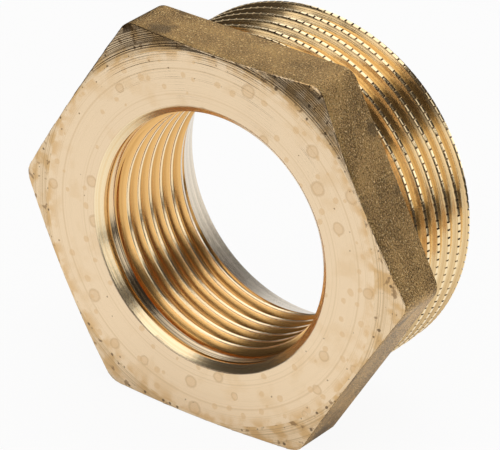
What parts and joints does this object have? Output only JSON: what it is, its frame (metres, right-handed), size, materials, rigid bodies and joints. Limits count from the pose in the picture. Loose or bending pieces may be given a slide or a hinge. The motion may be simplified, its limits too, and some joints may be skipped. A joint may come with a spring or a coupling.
{
  "type": "hex bushing",
  "caption": "Hexagonal brass reducing bushing for pipe: a thin spanner hexagon, a short wide male thread behind it and a smaller female thread through the bore.",
  "frame": {"origin": "on the pipe axis, in the plane of the shoulder that the hexagon makes behind the male thread", "axes": "+Y along the pipe axis from the hexagon's face to the end of the male thread; +Z square to the upper flat of the hexagon, which lies on the opposite flat; +X to the right, through a corner, seen from the face"},
  "size_m": [0.057, 0.0229, 0.05],
  "materials": {
    "brass": "turned face and threads, sand-blasted hexagon flats"
  },
  "bodies": {
    "root": {"hex_bushing": "brass"}
  },
  "joints": []
}
